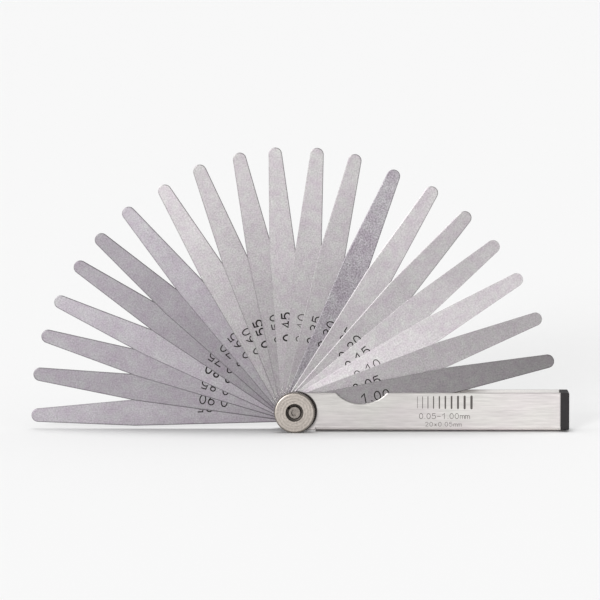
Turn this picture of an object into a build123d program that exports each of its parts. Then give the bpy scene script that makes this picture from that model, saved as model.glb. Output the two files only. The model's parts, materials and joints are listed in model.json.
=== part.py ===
from build123d import *
import math
import os

# Feeler gauge: twenty steel leaves on one pivot screw, fanned out over a folded steel case.
# Millimetres. +X runs from the pivot along the case to its end cap, +Z is up, and the clamp nut
# is on the -Y side. Z = 0 is the surface that the tool stands on, X = 0 is the middle of the
# opened tool's length and Y = 0 is the middle of the leaf stack.

# Leaves, from the clamp nut's side to the screw head's side: the thickest guards the thin ones.
THICKNESSES = [1.00] + [0.05 * step for step in range(1, 20)]
# Direction of each leaf in the fan, in degrees from the case's axis, in the same order.
FAN_DIRECTIONS = [
    11.25, 21.0, 30.75, 39.75, 48.75, 58.0, 67.25, 76.5, 85.0, 94.25,
    102.25, 111.5, 120.5, 130.0, 138.5, 146.25, 155.25, 163.5, 172.25, 181.5,
]
LEAF_REACH = 100.0  # pivot axis to leaf tip
SHORT_LEAVES = ["leaf_030", "leaf_060"]  # cut a little shorter than the others
SHORT_LEAF_REACH = 99.0
LEAF_WIDTH = 10.0
LEAF_TAPER_START = 60.5  # from the pivot axis
LEAF_TIP_RADIUS = 2.55
LEAF_GAP = 0.03  # between neighbours, and between the outer leaves and the case
LEAF_HOLE_DIAMETER = 5.1

# Case: one folded sheet, open along the top
CASE_REACH = 100.6  # pivot axis to the open end
CASE_HEIGHT = 14.2
CASE_WALL = 0.8
BEND_RADIUS = 0.9  # outside
SPINE_START = 8.0  # the spine leaves room for the leaves to swing down past the pivot
NOTCH_CENTRE = 25.4  # thumb notch in the top edge of each side, from the pivot axis
NOTCH_RADIUS = 13.1
NOTCH_DEPTH = 4.25
NOTCH_CORNER_RADIUS = 0.8

# End cap: moulded plug, closes the case's open end
CAP_LENGTH = 3.3
CAP_EDGE_RADIUS = 0.45
CAP_TONGUE_LENGTH = 6.0
CAP_TONGUE_HEIGHT = 3.1
CAP_CLEARANCE = 0.05

# Pivot screw, clamp nut and washer
SCREW_DIAMETER = 5.0
SCREW_HEAD_DIAMETER = 15.0
SCREW_HEAD_HEIGHT = 2.4
SCREW_HEAD_CHAMFER = 0.5
SCREW_NECK = 5.0  # across the flats of the square neck
SCREW_END_CHAMFER = 0.35
SOCKET_FLATS = 2.5
SOCKET_DEPTH = 1.6
NECK_CLEARANCE = 0.05
NUT_DIAMETER = 15.5
NUT_HEIGHT = 3.8
NUT_CHAMFER = 0.4
NUT_BORE_CLEARANCE = 0.03  # radial
NUT_RECESS_DIAMETER = 6.5
NUT_RECESS_DEPTH = 1.3
NUT_RECESS_CHAMFER = 0.15
SCREW_END_BELOW_NUT = 0.35
KNURL_TEETH = 72
KNURL_DEPTH = 0.18
WASHER_DIAMETER = 15.5
WASHER_BORE_DIAMETER = 6.8
WASHER_HEIGHT = 0.5
WASHER_SHIFT = 0.8  # its bore is wider than the screw, and it has slipped towards the case

# Worked out from the values above
STACK_WIDTH = sum(THICKNESSES) + LEAF_GAP * (len(THICKNESSES) + 1)
INNER_HALF = STACK_WIDTH / 2
OUTER_HALF = INNER_HALF + CASE_WALL
HALF_HEIGHT = CASE_HEIGHT / 2
NUT_FACE = OUTER_HALF + WASHER_HEIGHT + NUT_HEIGHT  # distance in front of the middle plane
HEAD_FACE = OUTER_HALF + SCREW_HEAD_HEIGHT  # distance behind the middle plane
CAP_END = CASE_REACH + CAP_LENGTH
PIVOT_X = (LEAF_REACH - CAP_END) / 2
PIVOT_Z = NUT_DIAMETER / 2
PIVOT = Pos(PIVOT_X, 0, PIVOT_Z)


def side_on(sketch, near, far):
    """Extrude a sketch drawn in X and Z between two depths, near < far, measured along +Y."""
    front_plane = Plane(origin=(0, near, 0), x_dir=(1, 0, 0), z_dir=(0, -1, 0))
    return extrude(front_plane * sketch, amount=-(far - near))


def disc(diameter, near, far):
    """A round disc about the pivot axis, between two depths."""
    return side_on(Circle(diameter / 2), near, far)


def leaf_outline(reach):
    """Round heel, parallel sides, straight taper and round tip, pointing along +X."""
    half_width = LEAF_WIDTH / 2
    tip_centre = reach - LEAF_TIP_RADIUS
    taper_length = tip_centre - LEAF_TAPER_START
    # The taper line starts at the leaf's shoulder and is tangent to the tip circle.
    shoulder_distance = math.hypot(taper_length, half_width)
    towards_centre = math.atan2(half_width, taper_length)
    taper = towards_centre - math.asin(LEAF_TIP_RADIUS / shoulder_distance)
    touch = (
        tip_centre + LEAF_TIP_RADIUS * math.sin(taper),
        LEAF_TIP_RADIUS * math.cos(taper),
    )
    upper_side = Polyline((0, half_width), (LEAF_TAPER_START, half_width), touch)
    tip = ThreePointArc(touch, (reach, 0), (touch[0], -touch[1]))
    lower_side = Polyline((touch[0], -touch[1]), (LEAF_TAPER_START, -half_width), (0, -half_width))
    heel = ThreePointArc((0, -half_width), (-half_width, 0), (0, half_width))
    return make_face([upper_side, tip, lower_side, heel]) - Circle(LEAF_HOLE_DIAMETER / 2)


def leaf(thickness, near, direction, reach):
    """One leaf with its front face at depth near, turned up from the case's axis."""
    return side_on(Rot(0, 0, direction) * leaf_outline(reach), near, near + thickness)


def case_side_outline():
    """Seen from the side: round end about the pivot, straight to the open end, thumb notch."""
    plate = Circle(HALF_HEIGHT) + Pos(CASE_REACH / 2, 0) * Rectangle(CASE_REACH, CASE_HEIGHT)
    notch_height = HALF_HEIGHT - NOTCH_DEPTH + NOTCH_RADIUS
    plate -= Pos(NOTCH_CENTRE, notch_height) * Circle(NOTCH_RADIUS)
    half_chord = math.sqrt(NOTCH_RADIUS**2 - (NOTCH_RADIUS - NOTCH_DEPTH) ** 2)
    corners = [
        vertex
        for vertex in plate.vertices()
        if abs(abs(vertex.X - NOTCH_CENTRE) - half_chord) < 0.01 and vertex.Y > 0
    ]
    return fillet(corners, NOTCH_CORNER_RADIUS)


def channel_section():
    """The folded part's U section, drawn in Y and Z, open at the top."""
    outer = RectangleRounded(2 * OUTER_HALF, CASE_HEIGHT + 2 * BEND_RADIUS, BEND_RADIUS)
    inner_radius = BEND_RADIUS - CASE_WALL
    inner = RectangleRounded(2 * INNER_HALF, CASE_HEIGHT + 2 * BEND_RADIUS, inner_radius)
    above = Pos(0, HALF_HEIGHT + 5 * BEND_RADIUS) * Rectangle(4 * OUTER_HALF, 10 * BEND_RADIUS)
    return Pos(0, BEND_RADIUS) * outer - Pos(0, BEND_RADIUS + CASE_WALL) * inner - above


def case():
    """Folded sheet: two flat ears at the pivot and a U channel from the spine's start."""
    side = case_side_outline()
    start = Pos(CASE_REACH / 2 + SPINE_START, 0) * Rectangle(CASE_REACH, 2 * CASE_HEIGHT)
    ears_side = side - start
    ears = side_on(ears_side, -OUTER_HALF, -INNER_HALF) + side_on(ears_side, INNER_HALF, OUTER_HALF)
    cross_plane = Plane(origin=(SPINE_START, 0, 0), x_dir=(0, 1, 0), z_dir=(1, 0, 0))
    channel = extrude(cross_plane * channel_section(), amount=CASE_REACH - SPINE_START)
    channel &= side_on(side, -2 * OUTER_HALF, 2 * OUTER_HALF)
    folded = ears + channel
    folded -= disc(LEAF_HOLE_DIAMETER, -OUTER_HALF - 1, 0)
    square = Rectangle(SCREW_NECK + 2 * NECK_CLEARANCE, SCREW_NECK + 2 * NECK_CLEARANCE)
    return folded - side_on(square, 0, OUTER_HALF + 1)


def end_cap():
    """Block flush with the case, softened at its outer end, on a tongue that lies on the spine."""
    cross_plane = Plane(origin=(CASE_REACH, 0, 0), x_dir=(0, 1, 0), z_dir=(1, 0, 0))
    block = extrude(cross_plane * Rectangle(2 * OUTER_HALF, CASE_HEIGHT), amount=CAP_LENGTH)
    lower_edges = block.edges().filter_by(Axis.X).sort_by(Axis.Z)[:2]
    block = fillet(lower_edges, BEND_RADIUS)
    outer_edges = block.faces().sort_by(Axis.X)[-1].edges()
    block = fillet(outer_edges, CAP_EDGE_RADIUS)
    tongue_width = 2 * (INNER_HALF - CAP_CLEARANCE)
    tongue_floor = -HALF_HEIGHT + CASE_WALL + CAP_CLEARANCE
    tongue = Pos(
        CASE_REACH - CAP_TONGUE_LENGTH / 2,
        0,
        tongue_floor + CAP_TONGUE_HEIGHT / 2,
    ) * Box(CAP_TONGUE_LENGTH, tongue_width, CAP_TONGUE_HEIGHT)
    long_edges = tongue.edges().filter_by(Axis.X).sort_by(Axis.Z)[:2]
    tongue = fillet(long_edges, BEND_RADIUS - CASE_WALL)
    leading_edges = tongue.faces().sort_by(Axis.X)[0].edges().filter_by(Axis.Y).sort_by(Axis.Z)
    tongue = chamfer(leading_edges[-1], CAP_TONGUE_HEIGHT / 3)
    return block + tongue


def pivot_screw():
    """Low round head behind the case, square neck in it, plain shank, socket in the front end."""
    end = -(NUT_FACE - SCREW_END_BELOW_NUT)
    head = disc(SCREW_HEAD_DIAMETER, OUTER_HALF, HEAD_FACE)
    head = chamfer(head.edges().filter_by(GeomType.CIRCLE).sort_by(Axis.Y)[-1], SCREW_HEAD_CHAMFER)
    neck = side_on(Rectangle(SCREW_NECK, SCREW_NECK), INNER_HALF, OUTER_HALF)
    shank = disc(SCREW_DIAMETER, end, INNER_HALF)
    shank = chamfer(shank.edges().filter_by(GeomType.CIRCLE).sort_by(Axis.Y)[0], SCREW_END_CHAMFER)
    hexagon = RegularPolygon(SOCKET_FLATS / 2, 6, major_radius=False)
    return head + neck + shank - side_on(hexagon, end, end + SOCKET_DEPTH)


def knurl_outline():
    """Fine straight teeth round the nut's rim."""
    points = []
    for step in range(2 * KNURL_TEETH):
        radius = NUT_DIAMETER / 2 - KNURL_DEPTH * (step % 2)
        angle = math.pi * (step + 0.5) / KNURL_TEETH
        points.append((radius * math.cos(angle), radius * math.sin(angle)))
    return make_face(Polyline(points, close=True))


def clamp_nut():
    """Knurled round nut with a recess for the screw's end."""
    face = -NUT_FACE
    back = face + NUT_HEIGHT
    envelope = disc(NUT_DIAMETER, face, back)
    envelope = chamfer(envelope.edges().filter_by(GeomType.CIRCLE), NUT_CHAMFER)
    nut = envelope & side_on(knurl_outline(), face, back)
    nut -= disc(SCREW_DIAMETER + 2 * NUT_BORE_CLEARANCE, face, back)
    nut -= disc(NUT_RECESS_DIAMETER, face, face + NUT_RECESS_DEPTH)
    mouth = disc(NUT_RECESS_DIAMETER + 2 * NUT_RECESS_CHAMFER, face, face + NUT_RECESS_CHAMFER)
    mouth_edge = mouth.edges().filter_by(GeomType.CIRCLE).sort_by(Axis.Y)[-1]
    return nut - chamfer(mouth_edge, NUT_RECESS_CHAMFER * 0.99)


def nut_washer():
    """Flat washer between the clamp nut and the case, a little off the pivot axis."""
    ring = Circle(WASHER_DIAMETER / 2) - Circle(WASHER_BORE_DIAMETER / 2)
    return side_on(Pos(WASHER_SHIFT, 0) * ring, -OUTER_HALF - WASHER_HEIGHT, -OUTER_HALF)


def write(node, shape):
    """One STEP file for each node, in the tool's own frame."""
    export_step(PIVOT * shape, f"parts/{node}.step")


os.makedirs("parts", exist_ok=True)
write("case", case())
write("end_cap", end_cap())
write("pivot_screw", pivot_screw())
write("nut_washer", nut_washer())
write("clamp_nut", clamp_nut())

depth = -INNER_HALF + LEAF_GAP
for thickness, direction in zip(THICKNESSES, FAN_DIRECTIONS):
    node = f"leaf_{round(100 * thickness):03d}"
    reach = SHORT_LEAF_REACH if node in SHORT_LEAVES else LEAF_REACH
    write(node, leaf(thickness, depth, direction, reach))
    depth += thickness + LEAF_GAP

print(f"pivot at x {PIVOT_X:.3f}, z {PIVOT_Z:.3f}; stack {STACK_WIDTH:.3f}")
print(f"case half width {OUTER_HALF:.3f}; nut face {NUT_FACE:.3f}; head face {HEAD_FACE:.3f}")
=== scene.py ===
"""Looks of the feeler gauge: satin steel leaves with engraved numbers, brushed case, nickel nut.

Metres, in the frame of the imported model: +X runs along the case, +Z is up, -Y is the front.
"""
import json
import math

import bmesh
import bpy
from mathutils import Matrix, Vector


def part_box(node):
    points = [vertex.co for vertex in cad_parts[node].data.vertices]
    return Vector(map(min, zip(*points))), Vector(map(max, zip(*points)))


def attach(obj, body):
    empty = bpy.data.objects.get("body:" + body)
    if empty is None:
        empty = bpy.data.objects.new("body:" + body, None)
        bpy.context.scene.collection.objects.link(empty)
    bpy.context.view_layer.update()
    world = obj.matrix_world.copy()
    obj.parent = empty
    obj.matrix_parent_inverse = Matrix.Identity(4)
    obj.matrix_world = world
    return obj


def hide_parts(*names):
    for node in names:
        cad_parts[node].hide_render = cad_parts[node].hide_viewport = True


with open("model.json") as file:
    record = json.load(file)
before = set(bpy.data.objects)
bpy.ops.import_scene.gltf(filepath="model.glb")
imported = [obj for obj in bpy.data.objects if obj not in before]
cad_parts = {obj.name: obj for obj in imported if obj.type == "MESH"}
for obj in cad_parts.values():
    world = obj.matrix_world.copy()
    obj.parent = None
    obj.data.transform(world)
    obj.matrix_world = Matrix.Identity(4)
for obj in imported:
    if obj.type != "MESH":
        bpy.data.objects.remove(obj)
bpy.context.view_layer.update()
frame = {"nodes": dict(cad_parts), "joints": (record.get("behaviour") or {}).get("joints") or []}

MM = 0.001

# Camera: a long lens, a little above the tool and square to the leaves.
CAMERA_DISTANCE = 2.0
CAMERA_ELEVATION = math.radians(5.0)
VIEW_WIDTH = 227.1 * MM  # what the picture spans at the tool
VIEW_CENTRE_FROM_PIVOT = Vector((2.1 * MM, 0, 41.8 * MM))
SENSOR_WIDTH = 36.0  # millimetres, as the lens
NEAREST_SEEN = 0.01

# Light: white surroundings, a soft lamp overhead and a key light from above, near the camera.
WORLD_STRENGTH = 0.5
OVERHEAD_STRENGTH = 1.5
OVERHEAD_ANGLE = math.radians(24.0)
OVERHEAD_TILT = math.radians(7.0)  # off the vertical, to the back
KEY_STRENGTH = 1.8
KEY_ANGLE = math.radians(12.0)
KEY_DIRECTION = math.radians(148.0)  # seen from the front
KEY_TILT = math.radians(20.0)  # off the line of sight
LAMP_DISTANCE = 0.8  # only where the lamps are drawn: their light is parallel
FACE_LIGHT = 1.62  # brightness of a white metal face turned to the camera
FLOOR_REACH = 12.0
FLOOR_COLOUR = (0.89, 0.89, 0.89, 1)

# Engraving: plain one-line figures, cut along each leaf and read outwards from the pivot.
FIGURE_HEIGHT = 3.3 * MM
FIGURE_PITCH = 3.3 * MM
POINT_PITCH = 1.65 * MM
FIGURE_STRETCH = 1.14
LABEL_START = 26.2 * MM  # from the pivot axis to the first figure
FINE = 0.36 * MM
PLAIN = 0.45 * MM
BOLD = 0.58 * MM
MARK_PROUD = 0.008 * MM
MARK_DEPTH = 0.03 * MM
MITRE_LIMIT = 1.8  # how far, in half widths, a line's corner may stick out
CAP_STEPS = 6  # of the half circle that ends a line

# Marks on the case, placed along it from the pivot axis and over that axis.
BAR_COUNT = 10
BARS_START = 46.4 * MM
BAR_FOOT = 1.3 * MM
BAR_TOP = 5.7 * MM
BAR_GAP = 1.75 * MM
THINNEST_BAR = 0.16 * MM
BAR_GROWTH = 0.08 * MM  # from bar to bar
# Text, start, baseline, height, pitch of the figures, pitch of a point, line.
CASE_LINES = (
    ("0.05-1.00mm", 47.2 * MM, -2.7 * MM, 2.0 * MM, 1.95 * MM, 0.9 * MM, 0.20 * MM),
    ("20x0.05mm", 49.5 * MM, -5.6 * MM, 1.6 * MM, 1.65 * MM, 0.8 * MM, 0.17 * MM),
)

# Clean copies of the CAD shapes.
WELD = 1e-6  # corners closer than this are one
FLAT_ANGLE = math.radians(0.5)  # neighbours that differ less are one face
SHARP_ANGLE = math.radians(30)  # edges sharper than this are softened
CREASE_ANGLE = math.radians(35)  # edges sharper than this stay creased in the shading
SQUARE = 0.999  # share of a face's normal along Y that makes it a front or back face
SHALLOW = 0.9  # the same for a front or back face, but not for its slope
WALL = 0.8  # a face with less than this stands upright between front and back

# Worn edges: every front and back edge of a leaf and of the case has a narrow, shallow slope.
SLOPE_WIDTH = 0.30 * MM
THIN_SLOPE_WIDTH = 0.055 * MM  # on the three thinnest leaves
THIN_LEAF = 0.18 * MM  # leaves thinner than this have the thin slope
SLOPE_ANGLE = math.radians(18.3)

# Clamp nut, from its axis.
NUT_RIM_REACH = 6.0 * MM  # only its outer front edge, farther out than this, is rounded
NUT_ROUNDING = 0.35 * MM
RECESS_REACH = 3.5 * MM  # painted shade: its recess is dark inside this radius
RECESS_DEPTH = 0.1 * MM  # and deeper than this

# Steel of the case, along it from the pivot axis and over that axis.
CASE_NEAR = 30.0 * MM  # it gets lighter from here
CASE_FAR = 85.0 * MM  # to here
BEND_START = 8.0 * MM
BEND_TOP = -5.65 * MM
BEND_FOOT = -6.0 * MM
BEND_PAINTED_LIGHT = 1.7  # painted light: the lower bend is made this much lighter

# Steel tints, red, green and blue: warm grey and violet-grey strips.
WARM = (1.0, 0.944, 0.972)
VIOLET = (1.0, 0.93, 1.005)

COARSE_LEAVES = ("leaf_030",)  # ground more coarsely than the others
COARSENESS = 2.2
LEAF_NEAR = 21.0 * MM  # painted shade: a leaf has its near grey up to here
LEAF_FAR = 86.0 * MM  # and its far grey from here
SEED_STEP = 0.37  # metres of grain between one leaf and the next

# Looks of the twenty leaves, from 0.05 to 1.00: the grey near the pivot and at the tip, the tint,
# then the number's place across and along the leaf in millimetres and its line.
LEAF_LOOKS = (
    (0.71, 0.69, WARM, -0.30, -2.35, PLAIN),
    (0.87, 0.82, WARM, -0.45, 0.40, FINE),
    (0.81, 0.75, WARM, 0.15, -0.25, PLAIN),
    (0.71, 0.74, WARM, -0.05, 0.55, PLAIN),
    (0.69, 0.80, WARM, -1.65, 0.90, PLAIN),
    (0.59, 0.69, VIOLET, -0.15, -0.05, PLAIN),
    (0.65, 0.755, WARM, -0.15, 0.00, PLAIN),
    (0.66, 0.77, WARM, 0.10, 0.00, FINE),
    (0.68, 0.78, WARM, 0.50, 0.45, BOLD),
    (0.63, 0.76, WARM, -0.05, 0.40, PLAIN),
    (0.64, 0.76, WARM, 0.85, 0.10, BOLD),
    (0.66, 0.80, WARM, 0.45, -0.70, PLAIN),
    (0.62, 0.72, VIOLET, 0.20, 0.55, PLAIN),
    (0.57, 0.64, VIOLET, -0.10, 0.00, PLAIN),
    (0.57, 0.65, VIOLET, 0.55, 1.40, PLAIN),
    (0.66, 0.71, VIOLET, -0.30, 0.25, BOLD),
    (0.63, 0.67, VIOLET, 0.60, -0.40, PLAIN),
    (0.62, 0.64, VIOLET, 1.15, -0.55, PLAIN),
    (0.65, 0.70, VIOLET, -1.30, 0.10, PLAIN),
    (0.60, 0.55, WARM, -0.25, -0.30, PLAIN),
)

pivot = Vector(frame["joints"][0]["pos_m"])
collection = bpy.context.scene.collection


# ---------------------------------------------------------------- shader helpers

def material(name):
    """A new material: its node tree and its shader."""
    made = bpy.data.materials.new(name)
    made.use_nodes = True
    tree = made.node_tree
    return made, tree, tree.nodes["Principled BSDF"]


def add(tree, kind, settings=None, **inputs):
    """A node with its settings and its inputs, each a value or another node's output."""
    made = tree.nodes.new(kind)
    for key, value in (settings or {}).items():
        setattr(made, key, value)
    for key, value in inputs.items():
        socket = made.inputs[key.replace("_", " ")]
        if isinstance(value, bpy.types.NodeSocket):
            tree.links.new(value, socket)
        else:
            socket.default_value = value
    return made


def math_node(tree, operation, first, second):
    """first operation second, each a number or an output."""
    made = tree.nodes.new("ShaderNodeMath")
    made.operation = operation
    for socket, value in zip(made.inputs, (first, second)):
        if isinstance(value, bpy.types.NodeSocket):
            tree.links.new(value, socket)
        else:
            socket.default_value = value
    return made.outputs[0]


def product(tree, first, *others):
    """All of them multiplied, each a number or an output."""
    for other in others:
        first = math_node(tree, "MULTIPLY", other, first)
    return first


def object_coordinates(tree, scale=(1, 1, 1)):
    """The piece's own coordinates in metres, stretched by scale."""
    coordinates = tree.nodes.new("ShaderNodeTexCoord")
    mapping = add(tree, "ShaderNodeMapping", Vector=coordinates.outputs["Object"], Scale=scale)
    return mapping.outputs[0]


def noise(tree, vector, scale, detail, roughness):
    """Noise from 0 to 1; scale is in features per metre."""
    made = add(
        tree, "ShaderNodeTexNoise",
        Vector=vector, Scale=scale, Detail=detail, Roughness=roughness,
    )
    return made.outputs[0]


def spread(tree, value, low, high):
    """A value from 0 to 1 spread over low to high."""
    made = add(
        tree, "ShaderNodeMapRange", {"clamp": False},
        Value=value, From_Min=0.0, From_Max=1.0, To_Min=low, To_Max=high,
    )
    return made.outputs[0]


def vary(tree, value, part):
    """A value from 0 to 1 turned into a factor that varies by that part around 1."""
    return spread(tree, value, 1 - part, 1 + part)


def tint(tree, factor, colour):
    """A colour times a brightness factor that changes over the surface."""
    made = add(tree, "ShaderNodeVectorMath", {"operation": "SCALE"}, Scale=factor)
    made.inputs[0].default_value = colour
    return made.outputs[0]


def bump(tree, shader, height, distance, strength):
    """Relief of that depth in metres on the shader's normal."""
    made = add(tree, "ShaderNodeBump", Height=height, Distance=distance, Strength=strength)
    tree.links.new(made.outputs[0], shader.inputs["Normal"])


# ---------------------------------------------------------------- materials

def albedo(grey):
    """Reflectance of a face that should look that grey (0 to 1, as displayed) in this light."""
    return ((grey + 0.055) / 1.055) ** 2.4 / FACE_LIGHT


def gradient(tree, position, start, end, low, high):
    """From low at start to high at end along one coordinate."""
    made = add(
        tree, "ShaderNodeMapRange",
        Value=position, From_Min=start, From_Max=end, To_Min=low, To_Max=high,
    )
    return made.outputs[0]


def mottled(tree, factor, shade, colour, shift):
    """A colour that drifts a little between pink and green, times a brightness."""
    red, green, blue = colour
    drift = add(tree, "ShaderNodeMix", {"data_type": "RGBA"})
    tree.links.new(factor, drift.inputs[0])
    drift.inputs[6].default_value = (red * (1 + shift), green * (1 - shift), blue * (1 + shift), 1)
    drift.inputs[7].default_value = (red * (1 - shift), green * (1 + shift), blue * (1 - shift), 1)
    made = add(tree, "ShaderNodeVectorMath", {"operation": "SCALE"}, Scale=shade)
    tree.links.new(drift.outputs[2], made.inputs[0])
    return made.outputs[0]


def leaf_steel(name, near, far, colour, seed, grain):
    """Satin ground steel: speckle, faint lengthwise lines, and painted shade in a slow change of grey
    along the leaf, darker near the pivot on most leaves.
    """
    made, tree, shader = material(name)
    shader.inputs["Metallic"].default_value = 1.0
    own = tree.nodes.new("ShaderNodeTexCoord").outputs["Object"]
    along = add(tree, "ShaderNodeSeparateXYZ", Vector=own).outputs[0]
    moved = add(tree, "ShaderNodeMapping", Vector=own, Location=(0, seed * SEED_STEP, 0)).outputs[0]
    drawn = add(tree, "ShaderNodeMapping", Vector=moved, Scale=(0.12, 1, 1)).outputs[0]
    speckle = noise(tree, moved, scale=1700, detail=3, roughness=0.65)
    blotches = noise(tree, moved, scale=330, detail=2, roughness=0.5)
    patches = noise(tree, moved, scale=90, detail=2, roughness=0.5)
    lines = noise(tree, drawn, scale=3200, detail=2, roughness=0.6)
    shade = product(
        tree,
        # painted shade: the grey changes from near to far along the leaf
        gradient(tree, along, LEAF_NEAR, LEAF_FAR, albedo(near), albedo(far)),
        vary(tree, speckle, 0.55 * grain),
        vary(tree, blotches, 0.14 * grain),
        vary(tree, patches, 0.10),
        vary(tree, lines, 0.12),
    )
    tree.links.new(mottled(tree, blotches, shade, colour, 0.05), shader.inputs["Base Color"])
    tree.links.new(spread(tree, speckle, 0.32, 0.48), shader.inputs["Roughness"])
    relief = math_node(tree, "ADD", speckle, lines)
    bump(tree, shader, relief, distance=0.004 * MM, strength=0.6)
    return made


def case_steel():
    """Sheet steel brushed along its length, lighter towards the cap, with painted light along the
    lower bend.
    """
    made, tree, shader = material("case_steel")
    shader.inputs["Metallic"].default_value = 1.0
    own = tree.nodes.new("ShaderNodeTexCoord").outputs["Object"]
    along, _, height = add(tree, "ShaderNodeSeparateXYZ", Vector=own).outputs
    drawn = object_coordinates(tree, (0.06, 1, 1))
    strokes = noise(tree, drawn, scale=2600, detail=3, roughness=0.6)
    drawn = object_coordinates(tree, (0.10, 1, 1))
    streaks = noise(tree, drawn, scale=900, detail=2, roughness=0.5)
    drawn = object_coordinates(tree, (0.5, 1, 1))
    patches = noise(tree, drawn, scale=90, detail=2, roughness=0.5)
    bend_light = gradient(tree, along, BEND_START - 0.1 * MM, BEND_START, 1.0, BEND_PAINTED_LIGHT)
    shade = product(
        tree,
        gradient(tree, along, CASE_NEAR, CASE_FAR, albedo(0.85), albedo(0.95)),
        vary(tree, strokes, 0.20),
        vary(tree, streaks, 0.06),
        vary(tree, patches, 0.07),
        # painted light along the lower bend
        gradient(tree, height, BEND_FOOT, BEND_TOP, bend_light, 1.0),
    )
    colour = (1.0, 0.952, 0.935)
    tree.links.new(mottled(tree, patches, shade, colour, 0.03), shader.inputs["Base Color"])
    tree.links.new(spread(tree, strokes, 0.26, 0.44), shader.inputs["Roughness"])
    bump(tree, shader, strokes, distance=0.006 * MM, strength=0.6)
    return made


def case_inside_painted_light():
    """Unbrushed inner face of the sheet, painted pale and unmetallic: painted light, so the inside of
    the channel looks lit.
    """
    made, tree, shader = material("case_inside_painted_light")
    grain = noise(tree, object_coordinates(tree), scale=1500, detail=2, roughness=0.6)
    pale = (0.85, 0.83, 0.81)
    tree.links.new(tint(tree, vary(tree, grain, 0.1), pale), shader.inputs["Base Color"])
    shader.inputs["Roughness"].default_value = 0.6
    return made


def turned_metal(name, grey, colour, ring_pitch):
    """Metal turned on a lathe: fine rings about the piece's Y axis."""
    made, tree, shader = material(name)
    shader.inputs["Metallic"].default_value = 1.0
    coordinates = object_coordinates(tree)
    rings = add(
        tree, "ShaderNodeTexWave",
        {"wave_type": "RINGS", "rings_direction": "Y"},
        Vector=coordinates, Scale=math.pi / (10 * ring_pitch), Distortion=1.5, Detail=2.0,
        Detail_Scale=2.0,
    ).outputs["Fac"]
    grain = noise(tree, coordinates, scale=1600, detail=3, roughness=0.65)
    patches = noise(tree, coordinates, scale=250, detail=2, roughness=0.5)
    shade = product(
        tree, vary(tree, grain, 0.55), vary(tree, rings, 0.10), vary(tree, patches, 0.10),
    )
    colour = [albedo(grey) * part for part in colour]
    tree.links.new(tint(tree, shade, colour), shader.inputs["Base Color"])
    tree.links.new(spread(tree, grain, 0.25, 0.42), shader.inputs["Roughness"])
    relief = math_node(tree, "ADD", rings, grain)
    bump(tree, shader, relief, distance=0.008 * MM, strength=0.6)
    return made


def cap_plastic():
    """Black moulded plastic with a fine spark-eroded texture."""
    made, tree, shader = material("cap_plastic")
    coordinates = object_coordinates(tree)
    texture = noise(tree, coordinates, scale=3000, detail=3, roughness=0.6)
    patches = noise(tree, coordinates, scale=300, detail=2, roughness=0.5)
    shade = product(tree, vary(tree, patches, 0.15), vary(tree, texture, 0.2))
    black = (0.034, 0.032, 0.033)
    tree.links.new(tint(tree, shade, black), shader.inputs["Base Color"])
    tree.links.new(spread(tree, texture, 0.42, 0.62), shader.inputs["Roughness"])
    shader.inputs["Specular IOR Level"].default_value = 0.06
    bump(tree, shader, texture, distance=0.02 * MM, strength=0.5)
    return made


def engraved_black(name, grey):
    """Burnt, dull floor of a laser-cut line, of that reflectance."""
    made, tree, shader = material(name)
    grain = noise(tree, object_coordinates(tree), scale=6000, detail=2, roughness=0.6)
    brown = (grey, grey * 0.9, grey * 0.86)
    tree.links.new(tint(tree, vary(tree, grain, 0.4), brown), shader.inputs["Base Color"])
    shader.inputs["Roughness"].default_value = 0.8
    shader.inputs["Specular IOR Level"].default_value = 0.15
    return made


# ---------------------------------------------------------------- shapes

def slope_edges(work, side, width):
    """Gives a piece's front (side -1) or back (side 1) face a shallow slope along its edges."""
    outermost = max(side * vertex.co.y for vertex in work.verts)
    faces = [
        face for face in work.faces
        if side * face.normal.y > SQUARE
        and all(side * vertex.co.y > outermost - WELD for vertex in face.verts)
    ]
    slopes = bmesh.ops.inset_region(work, faces=faces, thickness=width, use_even_offset=True)
    flat = {vertex for face in faces for vertex in face.verts}
    lowered = set()
    for face in slopes["faces"]:
        for vertex in face.verts:
            on_corner = any(abs(other.normal.y) < WALL for other in vertex.link_faces)
            if vertex not in flat and on_corner:
                lowered.add(vertex)
    for vertex in lowered:
        vertex.co.y -= side * width * math.tan(SLOPE_ANGLE)


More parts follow.
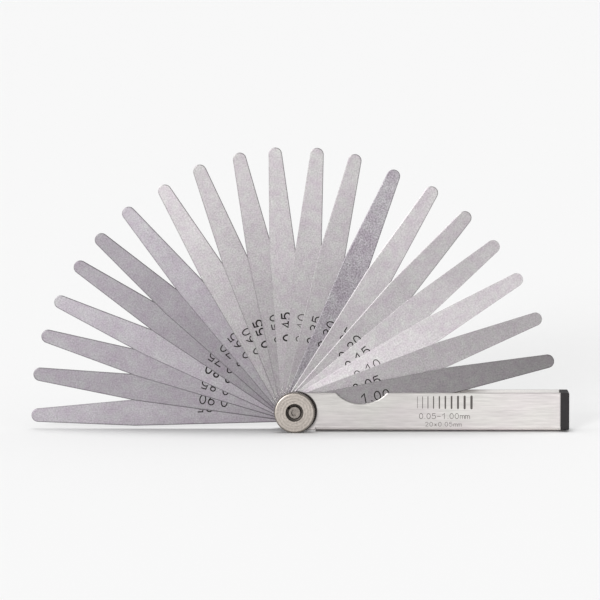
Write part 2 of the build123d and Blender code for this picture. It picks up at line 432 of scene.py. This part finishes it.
def clean_copy(node, name, place, bevel=0.0, segments=2, slope=0.0, reach=0.0):
    """The CAD node's shape as a new piece placed at place, with its sharp edges softened.

    Given a reach, only edges of the front face farther than that from the Y axis are softened.
    """
    work = bmesh.new()
    work.from_mesh(frame["nodes"][node].data)
    work.transform(place.inverted())
    bmesh.ops.remove_doubles(work, verts=work.verts, dist=WELD)
    bmesh.ops.dissolve_limit(work, angle_limit=FLAT_ANGLE, verts=work.verts, edges=work.edges)
    if slope:
        slope_edges(work, -1, slope)
        slope_edges(work, 1, slope)
    edges = [
        edge for edge in work.edges
        if len(edge.link_faces) == 2 and edge.calc_face_angle() > SHARP_ANGLE
    ]
    if reach:
        front = min(vertex.co.y for vertex in work.verts)
        edges = [
            edge for edge in edges
            if all(
                vertex.co.y < front + WELD and vertex.co.xz.length > reach
                for vertex in edge.verts
            )
        ]
    if bevel:
        bmesh.ops.bevel(
            work, geom=edges, offset=bevel, segments=segments, profile=0.5,
            affect="EDGES", clamp_overlap=True,
        )
    bmesh.ops.recalc_face_normals(work, faces=work.faces)
    mesh = bpy.data.meshes.new(name)
    work.to_mesh(mesh)
    work.free()
    mesh.shade_smooth()
    piece = bpy.data.objects.new(name, mesh)
    collection.objects.link(piece)
    piece.matrix_world = place
    if slope:
        mesh.set_sharp_from_angle(angle=CREASE_ANGLE)
        for face in mesh.polygons:
            face.use_smooth = abs(face.normal.y) < SHALLOW
    else:
        weighted = piece.modifiers.new("weighted", "WEIGHTED_NORMAL")
        weighted.weight = 100
    return piece


def finish_piece(piece, finish, body, node):
    """Material, body, and the CAD node it stands for, which is hidden."""
    piece.data.materials.clear()
    piece.data.materials.append(finish)
    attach(piece, body)
    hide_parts(node)


def arc(centre, radii, start, end, steps=14):
    """Points of an elliptic arc between two angles in degrees."""
    angles = [math.radians(start + (end - start) * step / steps) for step in range(steps + 1)]
    return [
        (centre[0] + radii[0] * math.cos(angle), centre[1] + radii[1] * math.sin(angle))
        for angle in angles
    ]


def figure_strokes(figure):
    """The strokes of one figure, 1 high, each a list of points; a closed one ends at its start."""
    if figure == "0":
        return [arc((0.29, 0.5), (0.29, 0.5), 0, 360, 28)]
    if figure == "1":
        return [[(0.0, 0.70), (0.34, 1.0), (0.34, 0.0)]]
    if figure == "2":
        return [arc((0.29, 0.72), (0.27, 0.28), 165, -30) + [(0.02, 0.0), (0.58, 0.0)]]
    if figure == "3":
        upper = arc((0.28, 0.76), (0.24, 0.24), 150, -90)
        lower = arc((0.28, 0.27), (0.29, 0.27), 90, -155)
        return [upper, lower]
    if figure == "4":
        return [[(0.42, 0.0), (0.42, 1.0), (0.0, 0.3), (0.6, 0.3)]]
    if figure == "5":
        return [[(0.54, 1.0), (0.10, 1.0), (0.03, 0.56)] + arc((0.28, 0.34), (0.33, 0.34), 135, -150)]
    if figure == "6":
        return [
            arc((0.29, 0.31), (0.29, 0.31), 0, 360, 24),
            [(0.0, 0.33), (0.06, 0.58), (0.20, 0.82), (0.42, 1.0)],
        ]
    if figure == "7":
        return [[(0.0, 1.0), (0.58, 1.0), (0.20, 0.0)]]
    if figure == "8":
        return [
            arc((0.29, 0.76), (0.24, 0.24), 0, 360, 24),
            arc((0.29, 0.27), (0.29, 0.27), 0, 360, 24),
        ]
    if figure == "9":
        return [[(0.58 - x, 1 - y) for x, y in stroke] for stroke in figure_strokes("6")]
    if figure == ".":
        return [[(0.06, 0.04), (0.10, 0.04)]]
    if figure == "-":
        return [[(0.04, 0.45), (0.54, 0.45)]]
    if figure == "x":
        return [[(0.1, 0.1), (0.5, 0.6)], [(0.1, 0.6), (0.5, 0.1)]]
    if figure == "m":
        first = [(0.0, 0.0), (0.0, 0.62)]
        arches = [
            arc((0.18 + left, 0.44), (0.18, 0.18), 180, 0, 8) + [(0.36 + left, 0.0)]
            for left in (0.0, 0.36)
        ]
        return [first] + arches
    raise ValueError(figure)


def add_ribbon(work, points, half_width, height, closed=False):
    """A flat-topped raised line along the points, in X and Z, facing -Y, with round ends."""
    count = len(points)
    sides = []
    for index, point in enumerate(points):
        before = points[(index - 1) % count] if closed or index else None
        after = points[(index + 1) % count] if closed or index < count - 1 else None
        into = (point - before).normalized() if before is not None else None
        out = (after - point).normalized() if after is not None else None
        into = into or out
        out = out or into
        middle = (into + out).normalized()
        normal = Vector((-middle.y, middle.x))
        slant = max(normal.dot(Vector((-into.y, into.x))), 1 / MITRE_LIMIT)
        offset = normal * half_width / slant
        sides.append((point + offset, point - offset))

    def corner(flat, y):
        return work.verts.new((flat.x, y, flat.y))

    top, bottom = -height, MARK_DEPTH
    rows = [[corner(side, y) for y in (top, bottom) for side in pair] for pair in sides]
    spans = list(zip(rows, rows[1:]))
    if closed:
        spans.append((rows[-1], rows[0]))
    for here, there in spans:
        work.faces.new((here[0], here[1], there[1], there[0]))
        work.faces.new((here[2], there[2], there[3], here[3]))
        work.faces.new((here[0], there[0], there[2], here[2]))
        work.faces.new((here[1], here[3], there[3], there[1]))
    if closed:
        return
    for row, point, away in (
        (rows[0], points[0], (points[0] - points[1]).normalized()),
        (rows[-1], points[-1], (points[-1] - points[-2]).normalized()),
    ):
        start = math.atan2(row[0].co.z - point.y, row[0].co.x - point.x)
        turn = 1 if Vector((-away.y, away.x)).dot(row[0].co.xz - point) < 0 else -1
        ring = []
        for step in range(1, CAP_STEPS):
            angle = start + turn * math.pi * step / CAP_STEPS
            rim = point + half_width * Vector((math.cos(angle), math.sin(angle)))
            ring.append((corner(rim, top), corner(rim, bottom)))
        uppers = [row[0]] + [pair[0] for pair in ring] + [row[1]]
        lowers = [row[2]] + [pair[1] for pair in ring] + [row[3]]
        work.faces.new(uppers)
        work.faces.new(lowers)
        for index in range(len(uppers) - 1):
            work.faces.new((uppers[index], uppers[index + 1], lowers[index + 1], lowers[index]))


def finish_marks(work, name, finish, place, body):
    """The marks drawn so far as one piece lying on that body's surface."""
    bmesh.ops.recalc_face_normals(work, faces=work.faces)
    mesh = bpy.data.meshes.new(name)
    work.to_mesh(mesh)
    work.free()
    mesh.materials.append(finish)
    piece = bpy.data.objects.new(name, mesh)
    collection.objects.link(piece)
    piece.matrix_world = place
    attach(piece, body)


def engrave(work, text, start, baseline, height, pitch, point_pitch, stroke):
    """Draws a line of figures from start along X, with its baseline at that Z."""
    left = start
    for figure in text:
        for layer, stroke_points in enumerate(figure_strokes(figure)):
            closed = math.dist(stroke_points[0], stroke_points[-1]) < WELD
            points = [
                Vector((left + x * height * FIGURE_STRETCH, baseline + y * height))
                for x, y in stroke_points
            ]
            if closed:
                points.pop()
            proud = MARK_PROUD * (1 + 0.2 * layer)
            add_ribbon(work, points, stroke / 2, proud, closed)
        left += point_pitch if figure == "." else pitch


# ---------------------------------------------------------------- the pieces

def make_leaves():
    """The twenty leaves and their numbers, each in its own frame: X along the leaf, Z across it."""
    inks = {
        FINE: engraved_black("engraving_fine", 0.05),
        PLAIN: engraved_black("engraving", 0.018),
        BOLD: engraved_black("engraving_bold", 0.010),
    }
    joints = {joint["child"]: joint for joint in frame["joints"]}
    for index, look in enumerate(LEAF_LOOKS):
        near, far, colour, across, along, line = look
        node = f"leaf_{5 * (index + 1):03d}"
        low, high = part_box(node)
        thickness = high.y - low.y
        folded_turn = math.radians(joints[node]["range_deg"][0])
        place = Matrix.Translation(Vector((pivot.x, low.y, pivot.z)))
        place = place @ Matrix.Rotation(folded_turn, 4, "Y")
        slope = SLOPE_WIDTH if thickness > THIN_LEAF else THIN_SLOPE_WIDTH
        piece = clean_copy(node, f"{node}_steel", place, slope=slope)
        grain = COARSENESS if node in COARSE_LEAVES else 1.0
        steel = leaf_steel(f"steel_{node}", near, far, colour, index, grain)
        finish_piece(piece, steel, node, node)

        hundredths = 5 * (index + 1)
        text = f"{hundredths // 100}.{hundredths % 100:02d}"
        work = bmesh.new()
        engrave(
            work, text, LABEL_START + along * MM, across * MM - FIGURE_HEIGHT / 2,
            FIGURE_HEIGHT, FIGURE_PITCH, POINT_PITCH, line,
        )
        finish_marks(work, f"{node}_number", inks[line], place, node)


def make_case():
    """The folded case with its marks: a row of growing bars and two lines of text."""
    place = Matrix.Translation(pivot)
    piece = clean_copy("case", "case_sheet", place, slope=SLOPE_WIDTH)
    finish_piece(piece, case_steel(), "case", "case")
    # painted light: faces looking into the channel get the pale inner material
    piece.data.materials.append(case_inside_painted_light())
    for face in piece.data.polygons:
        side = math.copysign(1, face.center.y)
        if side * face.normal.y < -0.5:  # it looks into the channel
            face.material_index = 1

    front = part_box("case")[0].y
    marks_place = Matrix.Translation(Vector((pivot.x, front, pivot.z)))
    brown = engraved_black("case_marking", 0.10)
    work = bmesh.new()
    left = BARS_START
    for step in range(BAR_COUNT):
        width = THINNEST_BAR + BAR_GROWTH * step
        centre = left + width / 2
        ends = [Vector((centre, BAR_FOOT)), Vector((centre, BAR_TOP))]
        add_ribbon(work, ends, width / 2, MARK_PROUD)
        left += width + BAR_GAP
    for line in CASE_LINES:
        engrave(work, *line)
    finish_marks(work, "case_marks", brown, marks_place, "case")


def make_small_parts():
    """Clamp nut, washer, pivot screw and end cap."""
    place = Matrix.Translation(pivot)
    nickel = turned_metal("nut_nickel", 0.76, (1.0, 0.905, 0.82), ring_pitch=1.05 * MM)
    recess = turned_metal("nut_recess_painted_shade", 0.30, (1.0, 0.88, 0.80), ring_pitch=0.4 * MM)
    steel = turned_metal("screw_steel", 0.62, (1.0, 0.90, 0.82), ring_pitch=0.4 * MM)
    # painted shade: the washer is dark so it reads as the crescent of shade to the right of the nut
    washer_shade = turned_metal("washer_black", 0.30, (1.0, 0.90, 0.85), ring_pitch=0.4 * MM)
    nut = clean_copy(
        "clamp_nut", "clamp_nut_turned", place,
        bevel=NUT_ROUNDING, segments=4, reach=NUT_RIM_REACH,
    )
    finish_piece(nut, nickel, "clamp_nut", "clamp_nut")
    nut.data.materials.append(recess)
    front = min(vertex.co.y for vertex in nut.data.vertices)
    # painted shade: faces behind the front and near the axis get the dark material
    for face in nut.data.polygons:
        reach = math.hypot(face.center.x, face.center.z)
        behind = face.center.y > front + RECESS_DEPTH
        if behind and reach < RECESS_REACH:
            face.material_index = 1
    finish_piece(
        clean_copy("pivot_screw", "pivot_screw_turned", place, bevel=0.15 * MM),
        steel, "case", "pivot_screw",
    )
    finish_piece(
        clean_copy("nut_washer", "nut_washer_ring", place, bevel=0.05 * MM),
        washer_shade, "case", "nut_washer",
    )
    low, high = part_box("end_cap")
    cap_place = Matrix.Translation((low + high) / 2)
    finish_piece(
        clean_copy("end_cap", "end_cap_moulding", cap_place, bevel=0.12 * MM, segments=3),
        cap_plastic(), "case", "end_cap",
    )


# ---------------------------------------------------------------- stage, light and camera

def make_lamp(name, strength, angle, towards):
    """A distant soft lamp that lies in that direction."""
    light = bpy.data.lights.new(name, "SUN")
    light.energy = strength
    light.angle = angle
    lamp = bpy.data.objects.new(name, light)
    collection.objects.link(lamp)
    lamp.location = pivot + LAMP_DISTANCE * towards
    lamp.rotation_euler = towards.to_track_quat("Z", "Y").to_euler()


def make_stage():
    """Pale floor, even surroundings, the key lamp and the overhead lamp."""
    mesh = bpy.data.meshes.new("floor")
    corners = [(FLOOR_REACH * x, FLOOR_REACH * y, 0) for x, y in ((-1, -1), (1, -1), (1, 1), (-1, 1))]
    mesh.from_pydata(corners, [], [(0, 1, 2, 3)])
    floor = bpy.data.objects.new("floor", mesh)
    collection.objects.link(floor)
    paper, _, shader = material("floor_paper")
    shader.inputs["Base Color"].default_value = FLOOR_COLOUR
    shader.inputs["Roughness"].default_value = 0.8
    shader.inputs["Specular IOR Level"].default_value = 0.2
    mesh.materials.append(paper)

    world = bpy.data.worlds.new("studio")
    world.use_nodes = True
    background = world.node_tree.nodes["Background"]
    background.inputs["Color"].default_value = (1, 1, 1, 1)
    background.inputs["Strength"].default_value = WORLD_STRENGTH
    bpy.context.scene.world = world

    across = Vector((math.cos(KEY_DIRECTION), 0, math.sin(KEY_DIRECTION)))
    key_side = math.cos(KEY_TILT) * Vector((0, -1, 0)) + math.sin(KEY_TILT) * across
    overhead_side = Vector((0, math.sin(OVERHEAD_TILT), math.cos(OVERHEAD_TILT)))
    make_lamp("key", KEY_STRENGTH, KEY_ANGLE, key_side)
    make_lamp("overhead", OVERHEAD_STRENGTH, OVERHEAD_ANGLE, overhead_side)


def make_camera():
    """A long lens square to the leaves, a little above them."""
    target = pivot + VIEW_CENTRE_FROM_PIVOT
    lens = bpy.data.cameras.new("camera")
    lens.sensor_width = SENSOR_WIDTH
    lens.lens = SENSOR_WIDTH * CAMERA_DISTANCE / VIEW_WIDTH
    lens.clip_start = NEAREST_SEEN
    camera = bpy.data.objects.new("camera", lens)
    collection.objects.link(camera)
    back = Vector((0, -math.cos(CAMERA_ELEVATION), math.sin(CAMERA_ELEVATION)))
    camera.location = target + CAMERA_DISTANCE * back
    camera.rotation_euler = (-back).to_track_quat("-Z", "Y").to_euler()
    bpy.context.scene.camera = camera


make_camera()
make_stage()
make_leaves()
make_case()
make_small_parts()
bpy.context.scene.view_settings.view_transform = "Standard"
